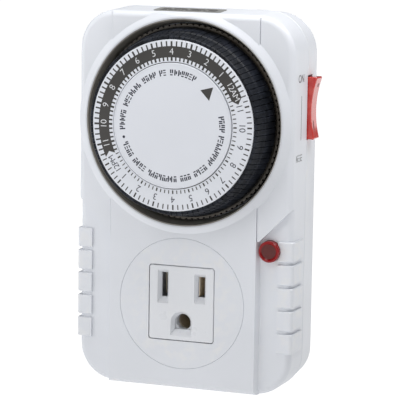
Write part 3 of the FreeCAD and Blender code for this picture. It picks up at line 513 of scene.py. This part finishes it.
def numbers(hours, face_y, weight):
    """The hours' figures as one mesh, each with its top outwards."""
    mesh = bmesh.new()
    for hour in hours:
        twelve = hour in twelve_shift
        size = twelve_size if twelve else number_size
        spacing = 0.90 if twelve else 0.95
        data = text_mesh(hour_name(hour), size, weight, spacing, resolution=4)
        degrees = midnight_angle + hour_step * hour + twelve_shift.get(hour, 0.0)
        a = math.radians(degrees)
        x, z = on_dial(number_radius, degrees)
        right = Vector((math.sin(a), 0, -math.cos(a)))
        up = Vector((math.cos(a), 0, math.sin(a)))
        mesh.from_mesh(stand(data, right, up, Vector((x, face_y, z))))
    whole = bpy.data.meshes.new("numbers")
    mesh.to_mesh(whole)
    mesh.free()
    return whole


def stroke_words(start, words, pitch, seed):
    """Stroke marks grouped like words, clockwise along the words' ring with their tops outwards."""
    mark_share = 0.82 / 0.75
    gap_share = 0.80
    rng = random.Random(seed)
    outlines = []
    degrees = start
    for count in words:
        for _ in range(count):
            for piece in stroke_mark(rng.randrange(6)):
                outlines.append([on_dial(word_radius + (up - 0.5) * word_height,
                                         degrees - pitch * mark_share * along) for along, up in piece])
            degrees -= pitch
        degrees -= pitch * gap_share
    return outlines


def dot_outline(radius, degrees, size, corners=20):
    x, z = on_dial(radius, degrees)
    turns = [2 * math.pi * i / corners for i in range(corners)]
    return [(x + size * math.cos(a), z + size * math.sin(a)) for a in turns]


printed("scale_ticks", ticks(), scale_face, ink_dark, "dial")
printed("scale_night_band", night_band(), scale_face - 0.004 * mm, ink_dark, "dial")
dark_numbers = numbers(range(12, 24), scale_face, -0.004)
settle("scale_numbers_dark", dark_numbers, ink_navy, "dial")
light_numbers = numbers(range(0, 12), scale_face - ink, -0.010)
settle("scale_numbers_light", light_numbers, ink_white, "dial")
words = stroke_words(186.5, (5, 7, 4, 2, 7), 4.42, 3)
words += stroke_words(13.0, (4, 8, 4, 3, 8, 4, 4), 4.36, 8)
words.append(dot_outline(word_radius, dot_angle, dot_radius))
printed("disc_stroke_ring", words, disc_face, ink_navy, "casing")
pointer = [on_dial(radius, degrees) for radius, degrees in (pointer_tip,) + pointer_base]
printed("disc_pointer", [pointer], disc_face, ink_dark, "casing")


# ---------------------------------------------------------------- print on the right-hand side

def side_text(name, text, size, y, z, material):
    """Figures which are read from the right."""
    data = stand(text_mesh(text, size, 0.016), Vector((0, 1, 0)), Vector((0, 0, 1)), Vector((side_x, y, z)))
    return settle(name, data, material, "casing")


def side_line(name, y, z_low, z_high, width, material):
    mesh = bmesh.new()
    corners = bar(y - width / 2, y + width / 2, z_low, z_high)
    slab(mesh, [(side_x + ink, a, b) for a, b in corners], [(side_x - ink, a, b) for a, b in corners])
    return settle_mesh(name, mesh, material, "casing")


def side_strokes(name, count, y_start, z_low, pitch, height, seed, material):
    """A row of stroke marks, running towards the wall."""
    mark_share = 0.82
    rng = random.Random(seed)
    mesh = bmesh.new()
    for i in range(count):
        for piece in stroke_mark(rng.randrange(6)):
            ends = [(y_start + (i + mark_share * a) * pitch, z_low + up * height) for a, up in piece]
            slab(mesh, [(side_x + ink, y, z) for y, z in ends], [(side_x - ink, y, z) for y, z in ends])
    return settle_mesh(name, mesh, material, "casing")


side_text("side_word_on", "ON", 3.5 * mm, front_y + 7.6 * mm, 73.4 * mm, ink_grey)
side_line("side_line", front_y + 8.3 * mm, 54.0 * mm, 68.0 * mm, 0.34 * mm, ink_grey)
side_strokes("side_word_strokes", 5, front_y + 4.0 * mm, 47.3 * mm, 1.25 * mm, 2.2 * mm, 5, ink_grey)


# ---------------------------------------------------------------- marks on the rocker

rocker_tilt = math.radians(2.0)
rocker_pivot = (33.2 * mm, 63.75 * mm)
rocker_half = 10.0 * mm
rocker_reach = 39.2 * mm - rocker_pivot[0]
rocker_sag = 1.55 * mm


def rocker_surface(height):
    """Point (x, z) on the rocker's hollow face, at a height from its middle, in the rest pose."""
    x = rocker_reach - rocker_sag * (1 - (height / rocker_half) ** 2)
    return (rocker_pivot[0] + x * math.cos(rocker_tilt) + height * math.sin(rocker_tilt),
            rocker_pivot[1] - x * math.sin(rocker_tilt) + height * math.cos(rocker_tilt))


def rocker_recess_shade(name, y_middle, half_width, low, high, material, oval):
    """Painted shade of a small recess, a thin dark sheet which follows the hollow face: a bar, or an oval
    when asked for.
    """
    steps = 10
    proud, sunk = 0.02 * mm, -0.03 * mm
    mesh = bmesh.new()
    rows = []
    for i in range(steps + 1):
        t = i / steps
        wide = half_width * (math.sqrt(max(0.02, 1 - (2 * t - 1) ** 2)) if oval else 1.0)
        x, z = rocker_surface(low + (high - low) * t)
        rows.append([mesh.verts.new((x + lift, y_middle + side * wide, z))
                     for lift in (proud, sunk) for side in (-1, 1)])
    for a, b in zip(rows, rows[1:]):
        mesh.faces.new((a[0], a[1], b[1], b[0]))
        mesh.faces.new((a[2], b[2], b[3], a[3]))
        mesh.faces.new((a[0], b[0], b[2], a[2]))
        mesh.faces.new((a[1], a[3], b[3], b[1]))
    for a in (rows[0], rows[-1]):
        mesh.faces.new((a[0], a[2], a[3], a[1]))
    return settle_mesh(name, mesh, material, "rocker_button")


rocker_middle_y = (rocker_low.y + rocker_high.y) / 2
# two thin dark sheets on the rocker where it has small recesses: painted shade
rocker_recess_shade("rocker_low_mark", rocker_middle_y - 0.8 * mm, 0.55 * mm, -7.2 * mm, -3.9 * mm, recess_shade_red, True)
rocker_recess_shade("rocker_top_mark", rocker_middle_y + 0.7 * mm, 0.7 * mm, 6.6 * mm, 7.8 * mm, recess_shade_red, False)


# ---------------------------------------------------------------- labels

def label_rows(name, low, high, rows, place, material, seed):
    """Short bars in rows, standing for print; place maps (across, along, lift) to a point."""
    bar_lengths = (1.2, 5.5)
    gaps = (0.5, 1.2)
    rng = random.Random(seed)
    mesh = bmesh.new()
    height = (high[1] - low[1]) / rows
    for row in range(rows):
        across = low[0]
        start = low[1] + row * height
        while across < high[0] - bar_lengths[0] * mm:
            long = min(rng.uniform(*bar_lengths) * mm, high[0] - across)
            ends = bar(across, across + long, start, start + height * 0.5)
            slab(mesh, [place(a, b, ink) for a, b in ends], [place(a, b, -ink) for a, b in ends])
            across += long + rng.uniform(*gaps) * mm
    return settle_mesh(name, mesh, material, "casing")


top_low, top_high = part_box("top_label")
top_thickness = 0.15 * mm
top_slope = (top_high.z - top_low.z - top_thickness) / (top_high.y - top_low.y)
back_low, back_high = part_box("rating_label")


def on_top_label(x, y, lift):
    return (x, y, top_high.z - (top_high.y - y) * top_slope + lift)


def on_rating_label(across, z, lift):
    return (-across, back_high.y + lift, z)


label_rows("top_label_rows", (top_low.x + 2 * mm, top_low.y + 1.3 * mm),
           (top_high.x - 2 * mm, top_high.y - 1.0 * mm), 3, on_top_label, ink_dark, 4)
label_rows("rating_label_rows", (-back_high.x + 3 * mm, back_low.z + 3 * mm),
           (back_high.x - 3 * mm, back_high.z - 3 * mm), 8, on_rating_label, ink_grey, 6)


# ---------------------------------------------------------------- floor, light and camera

def floor():
    """Pale floor well under the object; it glows less just below, so little light comes from there."""
    drop = 0.12
    half_size = 30.0
    mesh = bmesh.new()
    bmesh.ops.create_grid(mesh, x_segments=2, y_segments=2, size=half_size)
    for v in mesh.verts:
        v.co.z = cad_low.z - drop
    data = bpy.data.meshes.new("floor")
    mesh.to_mesh(data)
    mesh.free()
    thing = bpy.data.objects.new("floor", data)
    bpy.context.scene.collection.objects.link(thing)
    mat, tree, bsdf = new_material("pale_floor")
    bsdf.inputs["Base Color"].default_value = (0.9, 0.9, 0.9, 1.0)
    bsdf.inputs["Roughness"].default_value = 0.9
    bsdf.inputs["Emission Color"].default_value = (1.0, 1.0, 1.0, 1.0)
    glow = ramp(tree, ring_distance(tree, 0.0, 0.0, "Y"), 0.20, 0.50, 0.30, 0.92)
    tree.links.new(glow, bsdf.inputs["Emission Strength"])
    data.materials.append(mat)


def soft_light(name, place, target, size, power):
    data = bpy.data.lights.new(name, "AREA")
    data.shape = "RECTANGLE"
    data.size = size[0]
    data.size_y = size[1]
    data.energy = power
    thing = bpy.data.objects.new(name, data)
    thing.location = place
    thing.rotation_euler = (Vector(target) - Vector(place)).to_track_quat("-Z", "Y").to_euler()
    bpy.context.scene.collection.objects.link(thing)


def studio():
    """Even pale surroundings and four soft lights; places in metres, power in watts."""
    world = bpy.data.worlds.new("studio")
    world.use_nodes = True
    world.node_tree.nodes["Background"].inputs["Color"].default_value = (0.97, 0.985, 1.0, 1.0)
    world.node_tree.nodes["Background"].inputs["Strength"].default_value = 0.17
    bpy.context.scene.world = world
    middle = (0.0, -0.02, 0.035)
    right_top = (0.036, -0.01, 0.06)
    soft_light("key_left", (-0.42, -0.30, 0.14), middle, (0.25, 0.25), 0.52)
    soft_light("front_above", (-0.14, -0.42, 0.44), middle, (0.22, 0.22), 0.62)
    soft_light("overhead", (-0.02, -0.10, 0.50), middle, (0.30, 0.24), 1.05)
    soft_light("right_above", (0.13, -0.03, 0.26), right_top, (0.12, 0.12), 0.33)
    bpy.context.scene.view_settings.view_transform = "Standard"


def camera():
    """Long lens, looking from the right and slightly down, turned a little about its own axis."""
    azimuth, elevation, roll = math.radians(20.82), math.radians(8.19), math.radians(0.88)
    target = Vector((5.9, -28.0, 34.05)) * mm
    distance = 713.9 * mm
    back = Vector((math.sin(azimuth) * math.cos(elevation), -math.cos(azimuth) * math.cos(elevation),
                   math.sin(elevation)))
    level = Vector((math.cos(azimuth), math.sin(azimuth), 0))
    upright = back.cross(level)
    right = level * math.cos(roll) + upright * math.sin(roll)
    up = upright * math.cos(roll) - level * math.sin(roll)
    data = bpy.data.cameras.new("camera")
    data.sensor_width = 36.0
    data.lens = 202.1
    thing = bpy.data.objects.new("camera", data)
    turn = Matrix((right, up, back)).transposed().to_4x4()
    turn.translation = target + back * distance
    thing.matrix_world = turn
    bpy.context.scene.collection.objects.link(thing)
    bpy.context.scene.camera = thing


floor()
studio()
camera()
